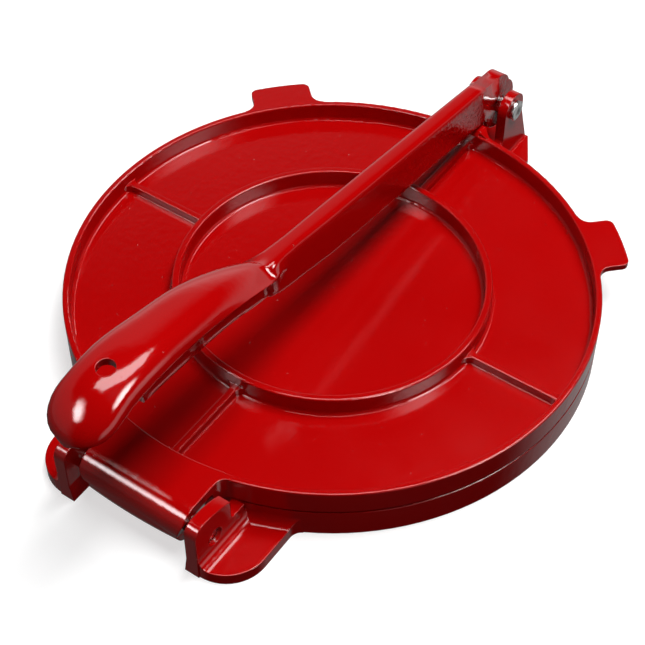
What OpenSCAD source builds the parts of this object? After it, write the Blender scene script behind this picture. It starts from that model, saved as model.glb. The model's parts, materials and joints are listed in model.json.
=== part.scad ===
// Tortilla press of cast aluminium: two ribbed plates hinged at the front,
// and a lever at the back whose arm bears down on the upper plate.
// The hinge line runs along X at the front (-Y), the lever's pivot is at the back (+Y),
// and the press stands on the plane z = 0.

/* [Press plates] */
// Diameter of both press plates
plate_d = 205; // [180:1:240]
// Height of the lower plate
base_h = 12.4; // [10:0.1:18]
// Height of the upper plate, from its press face to the top of its rim
top_h = 10.2; // [8:0.1:16]
// Gap between the press faces when the press is closed
press_gap = 0.4; // [0.3:0.1:2]
// Thickness of each plate between its ribs
web_t = 2.4; // [2:0.1:4]
// Width of the rim round each plate
rim_w = 2.5; // [2:0.1:5]
// Outer diameter of the stiffening ring on each plate
ring_d = 122.4; // [90:1:150]
// Width of the ring and of the ribs
rib_w = 2.8; // [2:0.1:5]
// Height of the radial ribs above the web
rib_h = 3.5; // [2:0.1:5]
// Number of radial ribs on each plate
rib_count = 4; // [3:1:8]

/* [Lifting tabs] */
// Angle of each tab from the X axis
tab_angle = 44; // [30:1:60]
// Width of a tab
tab_w = 25; // [15:1:40]
// How far a tab reaches beyond the plate
tab_reach = 12; // [8:0.5:25]
// Thickness of a tab
tab_t = 2.4; // [2:0.1:5]

/* [Front hinge] */
// Distance from the plates' edge to the hinge axis
hinge_reach = 12.5; // [12:0.1:20]
// Diameter of the hinge pin
hinge_pin_d = 7.2; // [5:0.1:9]
// Length of the hinge barrel at its middle
barrel_l = 45; // [30:1:60]
// Radius of the barrel round the pin at its middle
barrel_r = 8.2; // [7:0.1:10]
// Width of the apron between the plate and the barrel
apron_w = 45.2; // [40:0.2:70]
// Thickness of the apron
apron_t = 6; // [4:0.1:8]
// Space between the hinge ears
ear_space = 52.2; // [49:0.2:80]
// Thickness of an ear
ear_t = 4.9; // [3:0.1:8]
// Distance from the pin to the front of an ear
ear_reach = 10.2; // [9:0.1:12]
// Height of an ear's top above the pin
ear_rise = 13.2; // [9:0.1:15]
// Radius of an ear's upper front corner
ear_corner = 4.5; // [2:0.1:8]
// Radius of a front foot
foot_r = 16; // [12:0.5:25]
// Thickness of the feet
foot_t = 5; // [3:0.1:8]

/* [Lever pivot] */
// Distance from the plates' edge to the pivot axis
pivot_reach = 17.6; // [17:0.1:25]
// Height of the pivot axis above the upper plate's rim
pivot_rise = 3.4; // [2:0.1:12]
// Diameter of the lever's pivot pin
pivot_pin_d = 7.4; // [5:0.1:9]
// Diameter of the pivot pin's head
pivot_head_d = 8.6; // [7.8:0.1:12]
// Space between the two uprights
upright_space = 12.2; // [11:0.2:24]
// Thickness of an upright
upright_t = 4; // [3:0.1:8]
// Thickness of the foot under the uprights
bracket_t = 3; // [2:0.1:6]
// How far that foot spreads beside an upright
bracket_side = 9.2; // [4:0.1:15]
// Radius of an upright's top
upright_r = 7.3; // [6.5:0.1:10]
// Radius of the lever's knuckle round its pin
knuckle_r = 10.9; // [8:0.1:12]
// Width of the lever's knuckle
knuckle_w = 6; // [4:0.1:8]

/* [Lever] */
// Width of the lever's arm
arm_w = 8.4; // [6:0.1:11]
// Depth of the arm where it meets the knuckle
arm_h = 20.6; // [15:0.1:25]
// Rise of the arm for each millimetre towards the handle
arm_slope = 0.148; // [0.12:0.005:0.2]
// Distance from the pivot axis to the tip of the handle
lever_l = 266.1; // [220:0.1:320]
// Width of the handle at its lip
handle_w = 25.2; // [20:0.2:36]
// Thickness of the handle's shell
shell_t = 2.8; // [2:0.1:4]
// Diameter of the hanging hole
hole_d = 6.6; // [4:0.1:9]
// Distance from the tip of the handle to the hanging hole
hole_back = 22.4; // [16:0.2:30]

/* [Hidden] */
$fn = 96;
run_fit = 0.05;                                // radial clearance where a casting turns on its pin
seat_fit = 0.02;                               // radial clearance where a pin is held
edge_r = 0.5;                                  // small round on the castings' edges
cove_r = 1.3;                                  // fillet at the foot of rims and ring
plate_r = plate_d / 2;
top_z = base_h + press_gap;                    // the upper press face
rim_z = top_z + top_h;                         // top of the upper plate's rim
hinge_y = -plate_r - hinge_reach;
hinge_z = base_h + press_gap / 2;              // the hinge lies level with the press faces
pivot_y = plate_r + pivot_reach;
pivot_z = rim_z + pivot_rise;
ear_in = ear_space / 2;
ear_out = ear_in + ear_t;
foot_x = ear_out + foot_r;                     // side of a front foot
foot_y = hinge_y - ear_reach + 0.5 + foot_r;   // where its rounded front becomes its straight side
bracket_in = upright_space / 2;
bracket_out = bracket_in + upright_t;
bracket_y = pivot_y + 13.3;                    // rear edge of the bracket's foot
tip_y = pivot_y - lever_l;
mid_y = (tip_y + bracket_y) / 2;               // middle of the whole press, kept at y = 0
ear_crown_r = 32;                              // radius of an ear's top
ear_draft = 1.2;                               // how much thicker an ear is at its foot
foot_cove_r = 4;                               // fillets round the top of a front foot
arm_rise = 2.2;                                // height of the arm's underside above the rim
pad_y = plate_r + 3;                           // rear edge of the tongue that the lever presses
pad_rise = arm_rise - 0.35;                    // height of the tongue's pad, just clear of the arm

// ---------- flat shapes ----------

// Fills an inside corner at the origin, between the +x and +y directions
module cove(r) {
    difference() {
        translate([-0.3, -0.3]) square(r + 0.3);
        translate([r, r]) circle(r);
    }
}

// Cross-section of a wall that stands on y = 0, with rounded top corners and coved feet
module wall_section(w, h, foot_r) {
    translate([-w / 2, 0]) square([w, h - edge_r]);
    translate([edge_r - w / 2, 0]) square([w - 2 * edge_r, h]);
    for (side = [-1, 1]) translate([side * (w / 2 - edge_r), h - edge_r]) circle(edge_r);
    if (foot_r > 0) for (m = [0, 1]) mirror([m, 0]) translate([w / 2, 0]) cove(foot_r);
}

// Plan of the fillets where a lug along +x, of half width half_w, leaves a disc
module root_fillets(disc_r, half_w, r) {
    centre = [sqrt(pow(disc_r + r, 2) - pow(half_w + r, 2)), half_w + r];
    inner = centre * (disc_r - 1) / (disc_r + r);
    for (m = [0, 1]) mirror([0, m]) difference() {
        polygon([[centre.x, half_w - 0.5], centre, inner, [inner.x, half_w - 0.5]]);
        translate(centre) circle(r);
    }
}

// Plan of a lug along +x that ends on an arc about the disc's centre
module lug(disc_r, out_r, half_w, corner_r, root_r) {
    corner = [sqrt(pow(out_r - corner_r, 2) - pow(half_w - corner_r, 2)), half_w - corner_r];
    difference() {
        union() {
            intersection() {
                circle(out_r, $fn = 240);
                polygon([[0, 0], 2 * corner, [2 * corner.x, -2 * corner.y]]);
            }
            translate([0, -half_w]) square([corner.x, 2 * half_w]);
            for (side = [-1, 1]) translate([corner.x, side * corner.y]) circle(corner_r);
            root_fillets(disc_r, half_w, root_r);
        }
        circle(disc_r - rim_w / 2, $fn = 240);
    }
}

// ---------- shared solids ----------

// Extrudes an outline drawn in Y and Z along X, from x0 to x1
module across(x0, x1) {
    translate([x0, 0, 0]) rotate([90, 0, 90]) linear_extrude(height = x1 - x0) children();
}

// Both the right-hand piece and its mirror image
module both_sides() {
    for (m = [0, 1]) mirror([m, 0, 0]) children();
}

// A round plate with its press face on z = 0, and its rim, ring and ribs above it
module press_plate(h) {
    ring_r = (ring_d - rib_w) / 2;
    rotate_extrude($fn = 240) difference() {
        union() {
            square([plate_r, web_t]);
            translate([plate_r - rim_w / 2, 0]) wall_section(rim_w, h, 0);
            translate([plate_r - rim_w, web_t]) mirror([1, 0]) cove(cove_r);
            translate([ring_r, web_t]) wall_section(rib_w, h - web_t, cove_r);
        }
        translate([plate_r + 1, -1]) mirror([1, 0]) square([1, h + 2]);
        translate([plate_r - edge_r, edge_r]) difference() {
            translate([0, -2 * edge_r]) square(2 * edge_r);
            circle(edge_r);
        }
    }
    for (i = [0 : rib_count - 1]) rotate(i * 360 / rib_count - 90) translate([0, 0, web_t]) {
        translate([ring_r, 0, 0]) rotate([90, 0, 90])
            linear_extrude(height = plate_r - rim_w / 2 - ring_r) wall_section(rib_w, rib_h, 0.6);
        for (m = [0, 1]) mirror([0, m, 0]) {
            translate([ring_d / 2, rib_w / 2, 0]) linear_extrude(height = rib_h - 0.3) cove(3);
            translate([plate_r - rim_w, rib_w / 2, 0]) linear_extrude(height = rib_h - 0.3)
                mirror([1, 0]) cove(3);
        }
    }
}

// ---------- base: lower plate, hinge ears, front feet and lever bracket ----------

// Outline of a hinge ear: upright front, a top that falls away towards the plate, and a neck
module ear_outline() {
    back_y = -plate_r - 3.5;
    front_y = hinge_y - ear_reach;
    top = hinge_z + ear_rise;
    difference() {
        union() {
            intersection() {
                translate([front_y, 0]) square([back_y - front_y, top]);
                translate([front_y + ear_corner, top - ear_crown_r]) circle(ear_crown_r, $fn = 360);
            }
            translate([back_y - 1, 0]) square([plate_r / 12, base_h]);
            translate([back_y, base_h]) cove(2);
        }
        translate([front_y, top - ear_corner]) difference() {
            translate([-1, 0]) square(ear_corner + 1);
            translate([ear_corner, 0]) circle(ear_corner);
        }
        translate([hinge_y, hinge_z]) circle(hinge_pin_d / 2 + seat_fit);
    }
}

// Plan of a front foot, on the outer side of its ear and outside the plate's pockets
module foot_plan() {
    difference() {
        union() {
            intersection() {
                translate([ear_out, foot_y]) circle(foot_r);
                translate([ear_out - 1, foot_y - foot_r]) square([2 * foot_r, foot_r + 1]);
            }
            translate([ear_out - 1, foot_y]) square([foot_x - ear_out + 1, plate_r / 4]);
            foot_root();
        }
        circle(plate_r - rim_w);
    }
}

// Fillet between a foot's straight side and the round plate
module foot_root(r = 5) {
    centre = [foot_x + r, -sqrt(pow(plate_r + r, 2) - pow(foot_x + r, 2))];
    inner = centre * (plate_r - 1) / (plate_r + r);
    difference() {
        polygon([[foot_x - 0.5, centre.y], centre, inner, [foot_x - 0.5, inner.y]]);
        translate(centre) circle(r);
    }
}

module front_mount() {
    across(ear_in, ear_out) ear_outline();
    // the ear's inner side thickens towards its foot
    translate([0, -plate_r - 3, 0]) rotate([90, 0, 0])
        linear_extrude(height = hinge_reach + ear_reach - 3)
            polygon([[ear_in + 1, 0], [ear_in - ear_draft, 0], [ear_in, 8], [ear_in + 1, 8]]);
    linear_extrude(height = foot_t) foot_plan();
    // fillets from the foot up to the ear and up to the side of the plate
    intersection() {
        linear_extrude(height = base_h) foot_plan();
        union() {
            translate([0, -plate_r / 2, 0]) rotate([90, 0, 0]) linear_extrude(height = plate_r)
                translate([ear_out, foot_t]) cove(foot_cove_r);
            rotate_extrude(angle = 30, start = -80, $fn = 240)
                translate([plate_r, foot_t]) cove(foot_cove_r);
        }
        translate([0, -1.5 * plate_r, 0]) cube([plate_r, plate_r, base_h]);
    }
}

// Outline of an upright: round top, upright front edge, sloping rear edge
module upright_outline() {
    front_y = pivot_y - upright_r;
    difference() {
        union() {
            translate([pivot_y, pivot_z]) circle(upright_r);
            polygon([
                [front_y, 0], [front_y, pivot_z], [pivot_y + upright_r, pivot_z],
                [pivot_y + upright_r, pivot_z - 5], [bracket_y, bracket_t], [bracket_y, 0]
            ]);
            translate([plate_r - 4, 0]) square([front_y - plate_r + 5, base_h]);
            translate([front_y, base_h]) mirror([1, 0]) cove(2);
        }
        translate([pivot_y, pivot_z]) circle(pivot_pin_d / 2 + seat_fit);
    }
}

// Plan of the bracket's foot, narrower towards the back
module bracket_plan() {
    half_w = bracket_out + bracket_side;
    rear_w = bracket_out + 1.5;
    difference() {
        union() {
            rotate(90) translate([0, -half_w]) square([pivot_y, 2 * half_w]);
            polygon([
                [-half_w, pivot_y], [-rear_w, bracket_y], [rear_w, bracket_y], [half_w, pivot_y]
            ]);
            rotate(90) root_fillets(plate_r, half_w, 8);
        }
        circle(plate_r - rim_w);
    }
}

module lever_bracket() {
    both_sides() across(bracket_in, bracket_out) upright_outline();
    linear_extrude(height = bracket_t) bracket_plan();
    both_sides() translate([0, bracket_y - 0.5, 0]) rotate([90, 0, 0])
        linear_extrude(height = bracket_y - plate_r - 0.5) translate([bracket_out, bracket_t]) cove(1.2);
}

module base() {
    color("firebrick") translate([0, -mid_y, 0]) {
        translate([0, 0, base_h]) mirror([0, 0, 1]) press_plate(base_h);
        both_sides() front_mount();
        lever_bracket();
    }
}

// ---------- upper plate: tabs, hinge apron and barrel, and the lever's tongue ----------

module tabs() {
    for (a = [tab_angle, 180 - tab_angle]) rotate(a) translate([0, 0, rim_z - tab_t])
        linear_extrude(height = tab_t) lug(plate_r, plate_r + tab_reach, tab_w / 2, 3, 5);
}

// Side view of the apron: flat on top, rolled down round the pin
module apron_outline() {
    roll_r = rim_z - hinge_z - 2.4;
    root_y = -plate_r + rim_w + 3;
    translate([hinge_y, rim_z - roll_r]) circle(roll_r);
    translate([hinge_y, hinge_z]) circle(barrel_r - 1);
    translate([hinge_y, rim_z - apron_t]) square([root_y - hinge_y, apron_t]);
    translate([-plate_r - 1, top_z]) square([root_y + plate_r + 1, top_h]);
    translate([-plate_r - 1, rim_z - apron_t]) mirror([1, 1]) cove(3);
}

// Plan of the apron, drawn along +x from the plate's edge
module apron_plan() {
    half_w = apron_w / 2;
    difference() {
        union() {
            translate([0, -half_w]) square([plate_r + 2 * hinge_reach, 2 * half_w]);
            root_fillets(plate_r, half_w, 4);
        }
        circle(plate_r - rim_w, $fn = 240);
    }
}

// The barrel is a little fuller in its middle than at its ends
module barrel() {
    bow = 1;
    bow_r = pow(barrel_l / 2, 2) / 2 / bow + bow / 2;
    translate([-barrel_l / 2, hinge_y, hinge_z]) rotate([0, 90, 0]) rotate_extrude() intersection() {
        square([barrel_r, barrel_l]);
        translate([barrel_r - bow_r, barrel_l / 2]) circle(bow_r, $fn = 1440);
    }
}

// Seen from the front, the barrel's ends draw in below the apron
module barrel_draft() {
    half_w = barrel_l / 2;
    shoulder_z = rim_z - 3.5;
    translate([0, 0.5 - plate_r, 0]) rotate([90, 0, 0]) linear_extrude(height = 4 * hinge_reach)
        polygon([
            [-half_w - 0.3, rim_z + 1], [-half_w - 0.3, shoulder_z], [2.4 - half_w, hinge_z - 1],
            [2.4 - half_w, 0], [half_w - 2.4, 0], [half_w - 2.4, hinge_z - 1],
            [half_w + 0.3, shoulder_z], [half_w + 0.3, rim_z + 1]
        ]);
}

module apron() {
    difference() {
        union() {
            intersection() {
                across(-plate_r / 2, plate_r / 2) apron_outline();
                rotate(-90) linear_extrude(height = rim_z + 1) apron_plan();
                union() {
                    barrel_draft();
                    translate([-plate_r / 2, -plate_r - 2.5, 0]) cube([plate_r, plate_r / 4, 2 * rim_z]);
                }
            }
            intersection() {
                barrel();
                barrel_draft();
            }
        }
        translate([-plate_r / 2, hinge_y, hinge_z]) rotate([0, 90, 0])
            cylinder(r = hinge_pin_d / 2 + run_fit, h = plate_r);
    }
}

// The tongue under the lever, with a raised pad that the arm bears on
module tongue() {
    half_w = 4.6;
    intersection() {
        rotate(90) linear_extrude(height = rim_z + pad_rise) difference() {
            union() {
                translate([0, -half_w]) square([pad_y, 2 * half_w]);
                root_fillets(plate_r, half_w, 7);
            }
            circle(plate_r - rim_w, $fn = 240);
        }
        across(-plate_r / 4, plate_r / 4) polygon([
            [plate_r - rim_w, top_z], [plate_r - rim_w, rim_z], [plate_r - 1, rim_z + pad_rise],
            [pad_y, rim_z + pad_rise], [pad_y, top_z]
        ]);
        translate([0, plate_r * 2, 0]) rotate([90, 0, 0]) linear_extrude(height = plate_r * 2)
            polygon([
                [-half_w - 9, 0], [-half_w - 9, rim_z], [-half_w - 4, rim_z], [-half_w, rim_z + pad_rise],
                [half_w, rim_z + pad_rise], [half_w + 4, rim_z], [half_w + 9, rim_z], [half_w + 9, 0]
            ]);
    }
}

module top_plate() {
    color("firebrick") translate([0, -mid_y, 0]) {
        translate([0, 0, top_z]) press_plate(top_h);
        tabs();
        apron();
        tongue();
    }
}

// ---------- lever: one casting of arm, shell handle and knuckle ----------

function mix(a, b, t) = a + (b - a) * t;
function clamp(t) = min(max(t, 0), 1);
function bezier(p, t) =
    pow(1 - t, 3) * p[0] + 3 * t * pow(1 - t, 2) * p[1] + 3 * t * t * (1 - t) * p[2] + pow(t, 3) * p[3];

// A smooth curve through rows of [place, values ...], read at one place
function slope(rows, i) =
    let (a = max(i - 1, 0), b = min(i + 1, len(rows) - 1))
    (rows[b] - rows[a]) / (rows[b][0] - rows[a][0]);
function span_of(rows, s, i = 0) = i + 2 >= len(rows) || s <= rows[i + 1][0] ? i : span_of(rows, s, i + 1);
function read_rows(rows, s) =
    let (
        i = span_of(rows, s),
        w = rows[i + 1][0] - rows[i][0],
        t = (s - rows[i][0]) / w
    )
    (2 * pow(t, 3) - 3 * t * t + 1) * rows[i] + (pow(t, 3) - 2 * t * t + t) * w * slope(rows, i)
    + (3 * t * t - 2 * pow(t, 3)) * rows[i + 1] + (pow(t, 3) - t * t) * w * slope(rows, i + 1);

// s is the distance from the pivot towards the tip, and heights are above the upper plate's rim.
// The arm: share of the lever's length, share of the arm's half width, depth of the rounded
// shoulder below the top, share of the arm's depth
arm_rows = [
    [0.056, 0.9, 7, 0.975],
    [0.073, 0.9, 7.1, 1],
    [0.11, 0.93, 7.1, 0.95],
    [0.159, 0.95, 7.2, 0.92],
    [0.31, 0.98, 7.1, 0.96],
    [0.471, 1, 7.5, 0.947],
    [0.58, 1, 5.9, 0.854],
    [0.617, 1.74, 3.6, 0.733]
];
// The handle: share of the lever's length, share of the handle's half width, height of the crown
// above the arm's end, depth of the lip below the crown, depth of the web below the lip,
// roundness of the dome, fullness of its flanks
handle_rows = [
    [0.617, 0.58, 0.2, 3.8, 11.5, 0.05, 0.38],
    [0.633, 0.66, 3.4, 4.7, 12.6, 0.2, 0.39],
    [0.686, 0.8, 10.3, 5.3, 14.9, 0.55, 0.54],
    [0.75, 0.865, 16.1, 6.1, 17.6, 0.85, 0.71],
    [0.814, 0.89, 19.4, 6.7, 18.8, 1, 0.76],
    [0.881, 0.965, 21.9, 7.2, 19.6, 1, 0.83],
    [0.934, 0.985, 21.1, 7.8, 14.5, 1, 0.76],
    [1, 1.1, 14.8, 7.2, 6, 1, 0.49]
];
arm_from = arm_rows[0][0];                     // where the arm meets the knuckle
crease = handle_rows[0][0];                    // where the arm becomes the handle
nose_from = 0.9466;                            // where the handle starts to close towards its tip
nose_power = 2.2;                              // bluntness of the tip in plan
web_end = 1 - (hole_back + hole_d / 2 + 5) / lever_l;   // the web under the shell stops short of the hole
arm_lean = 0.36;                               // slant of the arm's end: it runs further back below

function arm_top(share) = arm_rise + arm_h + arm_slope * (share - arm_rows[1][0]) * lever_l;
function nose(share) = share < nose_from ? 1
    : pow(1 - pow((share - nose_from) / (1 - nose_from), nose_power), 1 / nose_power);
function lean(share) = arm_lean * clamp((0.13 - share) / (0.13 - arm_from));

// Half of the arm's section, from the middle of its top to the middle of its underside
function arm_half(share) =
    let (
        row = read_rows(arm_rows, share),
        w = min(row[1], 1) * arm_w / 2,
        top = arm_top(share),
        lip = [row[1] * arm_w / 2, top - row[2]],
        under = top - row[3] * arm_h
    )
    concat(
        [for (i = [0 : 10]) bezier([[0, top], [w, top], [w, top], lip], i / 10)],
        [for (i = [1 : 6]) [mix(lip.x, w, clamp(i / 2)), mix(lip.y, under + 6, i / 6)]],
        [for (i = [0 : 4]) bezier([[w, under + 3], [w, under], [w, under], [w - 3, under]], i / 4)]
    );

// Half of the handle's section: the dome, its lip, the hollow below it and the web
function handle_half(share) =
    let (
        row = read_rows(handle_rows, share),
        n = nose(share),
        lip_y = arm_top(crease) + row[2] - row[3],
        lip = [max(row[1] * handle_w / 2 * n, 0.6), lip_y],
        w = min(arm_w / 2, 0.45 * lip.x),
        top = lip.y + row[3] * n,
        k = row[5],
        wall = min(shell_t, 0.35 * (lip.x - w) + 0.2),
        hollow = mix(lip.y - 1.8, top - wall, k * clamp((n - 0.3) / 0.4)),
        under = share > web_end ? hollow - 0.2 : min(lip.y - row[4], hollow - 0.2)
    )
    concat(
        [for (i = [0 : 10]) bezier([
            [0, top],
            [mix(min(w, lip.x), 0.6 * lip.x, k), top],
            [mix(min(w, lip.x), lip.x, k), lip.y + row[6] * (top - lip.y)],
            lip
        ], i / 10)],
        [for (i = [0 : 5]) bezier([
            [lip.x - wall * 0.6, lip.y - 0.6],
            [lip.x - wall, mix(lip.y, hollow, 0.6)],
            [mix(w, lip.x - wall, 0.5), hollow],
            [w, hollow]
        ], i / 5)],
        [for (i = [0 : 4]) bezier([
            [w, mix(under, hollow, 0.5)],
            [w, under],
            [w, under],
            [w * 0.3, under]
        ], i / 4)]
    );

// Closes half a section into a ring of points at its share of the lever's length
function ring(half, share) =
    let (
        y = pivot_y - share * lever_l,
        side = [for (p = half) [p.x, y + lean(share) * (half[0].y - p.y), rim_z + p.y]]
    )
    concat(side, [for (i = [len(half) - 1 : -1 : 1]) [-side[i].x, side[i].y, side[i].z]]);

arm_stations = concat(
    [for (i = [0 : 5]) mix(arm_from, 0.14, i / 5)],
    [for (i = [1 : 5]) mix(0.14, 0.47, i / 5)],
    [0.51, 0.545, 0.575, 0.595, crease - 0.0006]
);
handle_stations = concat(
    [for (i = [0 : 18]) mix(crease + 0.0006, nose_from, i / 18)],
    [for (i = [1 : 8]) nose_from + (1 - nose_from) * sin(i * 90 / 8.15)]
);

// Closes one end of the loft with strips across its section
function end_faces(from, n, front) = [
    for (i = [0 : (n - 3) / 2]) each let (
        a = from + i, b = from + i + 1, c = from + (n - i) % n, d = from + n - i - 1,
        strip = i == 0 ? [[a, b, d]] : [[a, b, c], [b, d, c]]
    ) [for (f = strip) front ? [f[0], f[2], f[1]] : f]
];

module loft(rings) {
    n = len(rings[0]);
    last = len(rings) - 1;
    polyhedron(
        points = [for (r = rings) each r],
        faces = concat(
            end_faces(0, n, true),
            end_faces(last * n, n, false),
            [for (j = [0 : last - 1], i = [0 : n - 1]) each let (
                a = j * n + i, b = j * n + (i + 1) % n, c = a + n, d = b + n
            ) [[a, b, c], [b, d, c]]]
        )
    );
}

// Outline of the knuckle: round about the pin, with a hump that runs on from the arm's top
module knuckle_outline() {
    arm_y = pivot_y - arm_from * lever_l;
    top = arm_top(arm_from);
    hump_r = knuckle_r - 0.3;
    hump_y = pivot_y - 3.9;
    hump_z = rim_z + top - 2.6 - hump_r;
    translate([pivot_y, pivot_z]) circle(knuckle_r);
    translate([hump_y, hump_z]) circle(hump_r);
    polygon([
        [arm_y - 3, rim_z + top - 4], [arm_y, rim_z + top - 1], [hump_y, hump_z + hump_r],
        [pivot_y, pivot_z], [pivot_y - 2, rim_z + arm_rise + 3], [arm_y, rim_z + arm_rise + 3]
    ]);
}

module lever() {
    color("firebrick") translate([0, -mid_y, 0]) difference() {
        union() {
            loft(concat(
                [for (share = arm_stations) ring(arm_half(share), share)],
                [for (share = handle_stations) ring(handle_half(share), share)]
            ));
            across(-knuckle_w / 2, knuckle_w / 2) knuckle_outline();
        }
        translate([-knuckle_w, pivot_y, pivot_z]) rotate([0, 90, 0])
            cylinder(r = pivot_pin_d / 2 + run_fit, h = 2 * knuckle_w);
        translate([0, tip_y + hole_back, rim_z + 40]) cylinder(d = hole_d, h = 60);
    }
}

// ---------- pins ----------

module hinge_pin() {
    sink = 1.6;
    color("silver") translate([sink - ear_out, hinge_y - mid_y, hinge_z]) rotate([0, 90, 0])
        cylinder(d = hinge_pin_d, h = 2 * (ear_out - sink));
}

module lever_pin() {
    proud = 1.5;
    end = bracket_out + proud;
    dish_r = 9.5;
    color("silver") translate([0, pivot_y - mid_y, pivot_z]) rotate([0, 90, 0]) difference() {
        union() {
            translate([0, 0, -end]) cylinder(d = pivot_pin_d, h = 2 * end);
            for (z = [-end, bracket_out + 0.1]) translate([0, 0, z])
                cylinder(d = pivot_head_d, h = proud - 0.1);
        }
        // shallow dishes in the two ends
        for (side = [-1, 1]) translate([0, 0, side * (end + dish_r - 0.5)]) sphere(r = dish_r);
    }
}

base();
top_plate();
lever();
hinge_pin();
lever_pin();
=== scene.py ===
import json
import math

import bmesh
import bpy
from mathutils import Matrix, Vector


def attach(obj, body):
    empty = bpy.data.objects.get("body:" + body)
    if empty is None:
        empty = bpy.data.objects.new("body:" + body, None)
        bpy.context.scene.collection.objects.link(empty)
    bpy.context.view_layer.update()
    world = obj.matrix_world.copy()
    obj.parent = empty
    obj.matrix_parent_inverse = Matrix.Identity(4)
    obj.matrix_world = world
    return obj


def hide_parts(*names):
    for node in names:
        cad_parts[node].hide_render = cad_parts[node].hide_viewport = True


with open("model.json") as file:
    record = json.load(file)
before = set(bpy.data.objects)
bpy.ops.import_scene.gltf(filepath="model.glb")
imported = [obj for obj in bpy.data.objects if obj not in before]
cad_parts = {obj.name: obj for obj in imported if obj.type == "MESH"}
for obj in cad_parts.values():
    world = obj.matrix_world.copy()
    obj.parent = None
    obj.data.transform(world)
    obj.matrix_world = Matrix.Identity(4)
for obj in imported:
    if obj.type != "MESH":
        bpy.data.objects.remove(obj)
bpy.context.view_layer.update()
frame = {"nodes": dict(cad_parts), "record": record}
mounts = {mount["name"]: mount for mount in frame["record"]["mounts"]}
plateY = mounts["rest_face"]["pos_m"][1]     # the plates' axis stands at x = 0 and this y
print("frame loaded:", sorted(frame["nodes"]))


class Wire:
    # a shader socket that can be used in Python expressions
    def __init__(self, shader, socket):
        self.shader = shader
        self.socket = socket

    def math(self, operation, *values):
        return self.shader.node("ShaderNodeMath", {"operation": operation}, *values)

    def __add__(self, other):
        return self.math("ADD", self, other)

    def __radd__(self, other):
        return self.math("ADD", other, self)

    def __sub__(self, other):
        return self.math("SUBTRACT", self, other)

    def __rsub__(self, other):
        return self.math("SUBTRACT", other, self)

    def __mul__(self, other):
        return self.math("MULTIPLY", self, other)

    def __rmul__(self, other):
        return self.math("MULTIPLY", other, self)

    def __truediv__(self, other):
        return self.math("DIVIDE", self, other)

    def __rtruediv__(self, other):
        return self.math("DIVIDE", other, self)

    def __abs__(self):
        return self.math("ABSOLUTE", self)


class Shader:
    # the nodes of one material, or of the world
    def __init__(self, owner, outputKind):
        owner.use_nodes = True
        self.owner = owner
        self.tree = owner.node_tree
        self.tree.nodes.clear()
        self.output = self.tree.nodes.new(outputKind)

    def node(self, kind, settings, *values, take=0, **named):
        made = self.tree.nodes.new(kind)
        for name, value in settings.items():
            setattr(made, name, value)
        sockets = list(enumerate(values)) + [(name.replace("_", " "), value) for name, value in named.items()]
        for place, value in sockets:
            if isinstance(value, Wire):
                self.tree.links.new(value.socket, made.inputs[place])
            elif value is not None:
                made.inputs[place].default_value = value
        return Wire(self, made.outputs[take])

    def place(self):
        return self.node("ShaderNodeTexCoord", {}, take="Object")

    def noise(self, scale, detail=2):
        return self.node("ShaderNodeTexNoise", {}, Vector=self.place(), Scale=scale, Detail=detail)

    def remap(self, value, fromLow, fromHigh, toLow=0.0, toHigh=1.0, steps="LINEAR"):
        settings = {"clamp": True, "interpolation_type": steps}
        return self.node("ShaderNodeMapRange", settings, value, fromLow, fromHigh, toLow, toHigh)

    def parts(self, vector):
        split = self.node("ShaderNodeSeparateXYZ", {}, vector).socket.node
        return [Wire(self, socket) for socket in split.outputs]

    def blend(self, mask, first, second):
        # sockets 6 and 7 are the Mix node's two colours, and output 2 its result
        colours = (*first, 1), (*second, 1)
        return self.node("ShaderNodeMix", {"data_type": "RGBA"}, mask, *[None] * 5, *colours, take=2)

    def roundEdges(self, radius):
        return self.node("ShaderNodeBevel", {"samples": 8}, radius)

    def finish(self, kind, **named):
        self.tree.links.new(self.node(kind, {}, **named).socket, self.output.inputs["Surface"])
        return self.owner


def newMaterial(name):
    return Shader(bpy.data.materials.new(name), "ShaderNodeOutputMaterial")


redCoat = {
    "colour": (0.305, 0.0008, 0.0010),
    "deepColour": (0.285, 0.0006, 0.0008),
    "driftScale": 9.0,                       # the two reds take turns over about 0.1 m
    "driftSpan": (0.35, 0.65),
    "roughness": 0.15,
    "leverRoughness": 0.10,
    "roughnessDrift": 0.02,                  # either way, in patches of about 17 mm
    "roughnessScale": 60.0,
    "roughnessSpan": (0.3, 0.7),
    "peelScale": 330.0,                      # orange peel, waves of about 3 mm
    "peelDepth": 0.000048,
    "nibScale": 170.0,                       # specks of dust under the coat
    "nibSpan": (0.03, 0.06),                 # where a speck slopes down, from its middle and in cells
    "nibHeight": 1.5,                        # in depths of the peel
    "edgeRound": 0.0006,                     # how far highlights run over the castings' edges
}
hammered = {
    "scale": 520.0,                          # dimples of about 2 mm on the lever's sides
    "depth": 0.00030,
    "sideways": (0.9, 0.985),                # they show where a face looks this squarely to one side
    "ySpan": (0.00, 0.06),                   # and fade in along the arm between these two places
}


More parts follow.
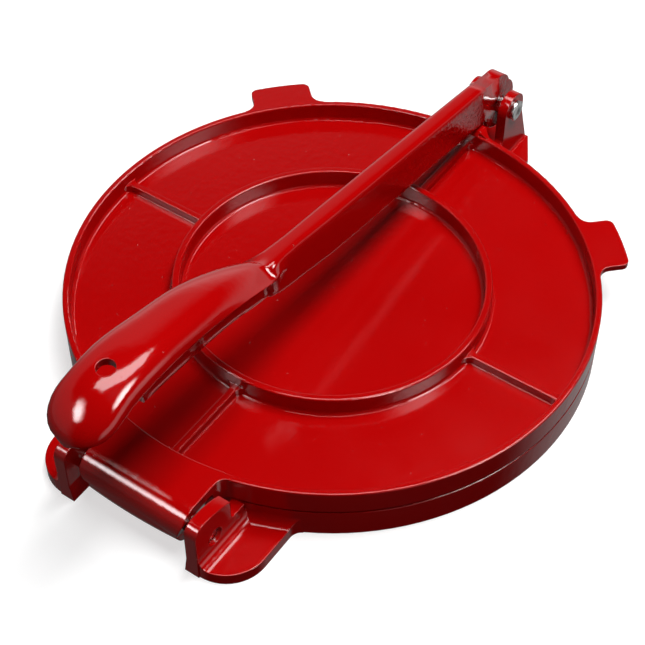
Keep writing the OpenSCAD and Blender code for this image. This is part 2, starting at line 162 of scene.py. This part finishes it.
def makeRedCoat(name, sides=False):
    s = newMaterial(name)
    gloss = redCoat["leverRoughness"] if sides else redCoat["roughness"]
    drift = s.remap(s.noise(redCoat["driftScale"], 3), *redCoat["driftSpan"])
    rounded = s.roundEdges(redCoat["edgeRound"])
    peel = s.noise(redCoat["peelScale"], 1)
    speck = s.node("ShaderNodeTexVoronoi", {}, Vector=s.place(), Scale=redCoat["nibScale"], take="Distance")
    height = peel + s.remap(speck, *redCoat["nibSpan"], redCoat["nibHeight"], 0.0)
    bumped = s.node("ShaderNodeBump", {}, Distance=redCoat["peelDepth"], Height=height, Normal=rounded)
    if sides:
        sideways = abs(s.parts(s.node("ShaderNodeNewGeometry", {}, take="Normal"))[0])
        along = s.parts(s.place())[1]
        dimpled = s.remap(sideways, *hammered["sideways"]) * s.remap(along, *hammered["ySpan"])
        dimples = s.noise(hammered["scale"]) * dimpled
        bumped = s.node("ShaderNodeBump", {}, Distance=hammered["depth"], Height=dimples, Normal=bumped)
    patches = s.noise(redCoat["roughnessScale"])
    glossRange = (gloss - redCoat["roughnessDrift"], gloss + redCoat["roughnessDrift"])
    return s.finish(
        "ShaderNodeBsdfPrincipled",
        Base_Color=s.blend(drift, redCoat["deepColour"], redCoat["colour"]),
        Roughness=s.remap(patches, *redCoat["roughnessSpan"], *glossRange),
        Specular_IOR_Level=0.5,
        Normal=bumped,
    )


pinZinc = {
    "colour": (0.80, 0.81, 0.80),
    "dullColour": (0.62, 0.63, 0.62),
    "colourSpan": (0.35, 0.6),
    "roughness": (0.19, 0.30),               # in the tool marks and on their crests
    "roughnessSpan": (0.3, 0.7),
    "turnedScale": 2600.0,                   # fine tool marks
    "turnedDepth": 0.00001,
    "edgeRound": 0.0026,                     # the pins' ends mirror as soft domes
}


def makePinZinc(name):
    s = newMaterial(name)
    marks = s.noise(pinZinc["turnedScale"], 3)
    rounded = s.roundEdges(pinZinc["edgeRound"])
    bumped = s.node("ShaderNodeBump", {}, Distance=pinZinc["turnedDepth"], Height=marks, Normal=rounded)
    return s.finish(
        "ShaderNodeBsdfPrincipled",
        Base_Color=s.blend(s.remap(marks, *pinZinc["colourSpan"]), pinZinc["dullColour"], pinZinc["colour"]),
        Roughness=s.remap(marks, *pinZinc["roughnessSpan"], *pinZinc["roughness"]),
        Metallic=1.0,
        Normal=bumped,
    )


coat = makeRedCoat("red_coat_gloss")
leverCoat = makeRedCoat("red_coat_hammered_sides", sides=True)
zinc = makePinZinc("pin_zinc")


def wear(obj, material):
    obj.data.materials.clear()
    obj.data.materials.append(material)
    for face in obj.data.polygons:
        face.material_index = 0


for nodeName in ("base", "top_plate"):
    wear(frame["nodes"][nodeName], coat)
for nodeName in ("hinge_pin", "lever_pin"):
    wear(frame["nodes"][nodeName], zinc)
print("castings and pins finished")


# the frame's lever is loose flat triangles: a welded copy of it is shaded smooth and stands for it
leverCasting = {
    "weld": 0.00001,                         # metres within which its loose corners become one
    "sharpFrom": 38.0,                       # degrees between faces above which an edge stays crisp
}


def makeLever():
    source = frame["nodes"]["lever"]
    mesh = bpy.data.meshes.new("lever_casting")
    bm = bmesh.new()
    bm.from_mesh(source.data)
    bmesh.ops.remove_doubles(bm, verts=bm.verts, dist=leverCasting["weld"])
    for face in bm.faces:
        face.smooth = True
    bm.to_mesh(mesh)
    bm.free()
    mesh.set_sharp_from_angle(angle=math.radians(leverCasting["sharpFrom"]))
    lever = bpy.data.objects.new("lever_casting", mesh)
    bpy.context.scene.collection.objects.link(lever)
    wear(lever, leverCoat)
    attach(lever, "lever")
    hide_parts("lever")


makeLever()
print("lever finished")


paleFloor = {
    "size": 30.0,
    "colour": (0.42, 0.42, 0.42),
    "roughness": 0.9,
    "glow": 0.62,                            # keeps the white table white far from the lamps
}


def makeFloor():
    mesh = bpy.data.meshes.new("floor")
    bm = bmesh.new()
    bmesh.ops.create_grid(bm, x_segments=1, y_segments=1, size=paleFloor["size"] / 2)
    bm.to_mesh(mesh)
    bm.free()
    floor = bpy.data.objects.new("floor", mesh)
    bpy.context.scene.collection.objects.link(floor)
    s = newMaterial("floor_pale")
    wear(floor, s.finish(
        "ShaderNodeBsdfPrincipled",
        Base_Color=(*paleFloor["colour"], 1),
        Roughness=paleFloor["roughness"],
        Specular_IOR_Level=0.0,
        Emission_Color=(1, 1, 1, 1),
        Emission_Strength=paleFloor["glow"],
    ))
    floor.visible_glossy = False
    floor.visible_diffuse = False


sky = {
    "behind": 1.0,                           # what the camera sees past the floor
    "fill": 0.08,                            # soft light from all round
    "tableFill": 0.45,                       # and from the white table below
    "horizon": (-0.01, 0.0),                 # where the table's half of the sky gives way to the upper half
    "lowestCeiling": 0.02,                   # how low over the horizon the ceiling is drawn
    "cardBlur": 0.012,                       # half the soft edge of a ceiling card
    # the gloss mirrors this sky in place of the lamps. It has broad glows:
    # brightness, half of the sky, and by which part of the direction each one fades in, from and to
    "glows": [
        (1.60, "both", [("x", 0.70, 0.86), ("level", 0.30, 0.15)]),  # a white card, low on the right
        (0.70, "above", [("y", 0.2, 0.6), ("z", 0.40, 0.05)]),       # a white backdrop, low behind the press
        (0.33, "above", [("x", -0.22, -0.50), ("z", 0.73, 0.62)]),   # a dim wall on the left
        (0.50, "below", [("y", 0.2, 0.6), ("x", 0.65, 0.42)]),       # the white table behind the press
        (0.12, "below", [("x", -0.1, -0.4)]),                        # and the table on its left
    ],
    # then cards on a ceiling one unit above the press: brightness and sides (a, b, c), where a x + b y < c
    "cards": [
        (11.0, [(-1, 0, 0.20), (0, -1, 0.06), (1, -0.95, -0.12), (1, 0, 0.21), (1, 1, 0.84), (-1, 1, 0.96)]),
        (10.5, [(-1, 0, 0.455), (0, -1, 0.06), (-1.36, 1, 0.79), (1, 0, -0.20)]),
    ],
    # and round lamps on it, soft to their rims: brightness, place x and y, radius along x and y
    "spots": [
        (27.0, -0.56, -0.86, 0.27, 0.55),
        (30.0, 0.92, 0.18, 0.56, 0.46),
    ],
}


def makeSky():
    world = bpy.data.worlds.new("studio")
    bpy.context.scene.world = world
    s = Shader(world, "ShaderNodeOutputWorld")
    x, y, z = s.parts(s.node("ShaderNodeTexCoord", {}, take="Generated"))
    above = s.remap(z, *sky["horizon"])
    below = 1 - above
    heading = {"x": x, "y": y, "z": z, "level": abs(z)}
    half = {"above": above, "below": below, "both": 1.0}
    mirrored = 0.0
    for brightness, side, fades in sky["glows"]:
        glow = brightness * half[side]
        for part, start, full in fades:
            glow = glow * s.remap(heading[part], start, full, steps="SMOOTHSTEP")
        mirrored = mirrored + glow
    height = z.math("MAXIMUM", z, sky["lowestCeiling"])
    across = x / height
    along = y / height
    blur = sky["cardBlur"]
    for brightness, sides in sky["cards"]:
        card = brightness * above
        for a, b, c in sides:
            card = card * s.remap(a * across + b * along, c + blur, c - blur)
        mirrored = mirrored + card
    for brightness, spotX, spotY, radiusX, radiusY in sky["spots"]:
        offX = (across - spotX) * (1 / radiusX)
        offY = (along - spotY) * (1 / radiusY)
        fade = s.remap(offX * offX + offY * offY, 1.0, 0.0, steps="SMOOTHSTEP")
        mirrored = mirrored + brightness * above * fade * fade
    path = s.node("ShaderNodeLightPath", {}).socket.node.outputs
    glossy = Wire(s, path["Is Glossy Ray"])
    seen = Wire(s, path["Is Camera Ray"])
    fill = sky["fill"] + below * sky["tableFill"]
    strength = glossy * mirrored + seen * sky["behind"] + (1 - glossy) * (1 - seen) * fill
    s.finish("ShaderNodeBackground", Strength=strength)


lampAim = 0.02                               # the lamps point at this height on the plates' axis
# large lamps that light the paint's body, each in a direction and at a distance from there
softboxes = {
    "overhead": {
        "direction": (0.19, 0.17, 1.0), "distance": 1.05,
        "width": 0.42, "depth": 0.80, "watts": 19.7,
    },
    "front_left": {
        "direction": (-0.39, -0.59, 0.70), "distance": 1.2,
        "width": 0.24, "depth": 0.42, "watts": 0.8,
    },
}


def makeSoftbox(name, direction, distance, width, depth, watts):
    light = bpy.data.lights.new("softbox_" + name, "AREA")
    light.shape = "RECTANGLE"
    light.size = width
    light.size_y = depth
    light.energy = watts
    lamp = bpy.data.objects.new("softbox_" + name, light)
    bpy.context.scene.collection.objects.link(lamp)
    toLamp = Vector(direction).normalized()
    lamp.location = Vector((0, plateY, lampAim)) + distance * toLamp
    lamp.rotation_euler = Vector((0, 0, 1)).rotation_difference(toLamp).to_euler()
    lamp.visible_camera = False
    lamp.visible_glossy = False


view = {
    "azimuth": 34.75,                        # degrees that the camera looks to the left of +Y
    "elevation": 48.12,
    "target": (0.01058, -0.02177, 0.023),    # from the foot of the plates' axis
    "distance": 0.58687,
    "lens": 88.15,
    "sensor": 36.0,
    "clipStart": 0.01,
}


def makeCamera():
    data = bpy.data.cameras.new("camera")
    data.lens = view["lens"]
    data.sensor_width = view["sensor"]
    data.clip_start = view["clipStart"]
    camera = bpy.data.objects.new("camera", data)
    bpy.context.scene.collection.objects.link(camera)
    az = math.radians(view["azimuth"])
    el = math.radians(view["elevation"])
    ahead = Vector((-math.sin(az) * math.cos(el), math.cos(az) * math.cos(el), -math.sin(el)))
    camera.location = Vector(view["target"]) + Vector((0, plateY, 0)) - view["distance"] * ahead
    camera.rotation_euler = (math.pi / 2 - el, 0, az)
    bpy.context.scene.camera = camera


makeFloor()
makeSky()
for lampName, box in softboxes.items():
    makeSoftbox(lampName, **box)
makeCamera()
bpy.context.scene.view_settings.view_transform = "Standard"
print("studio ready")
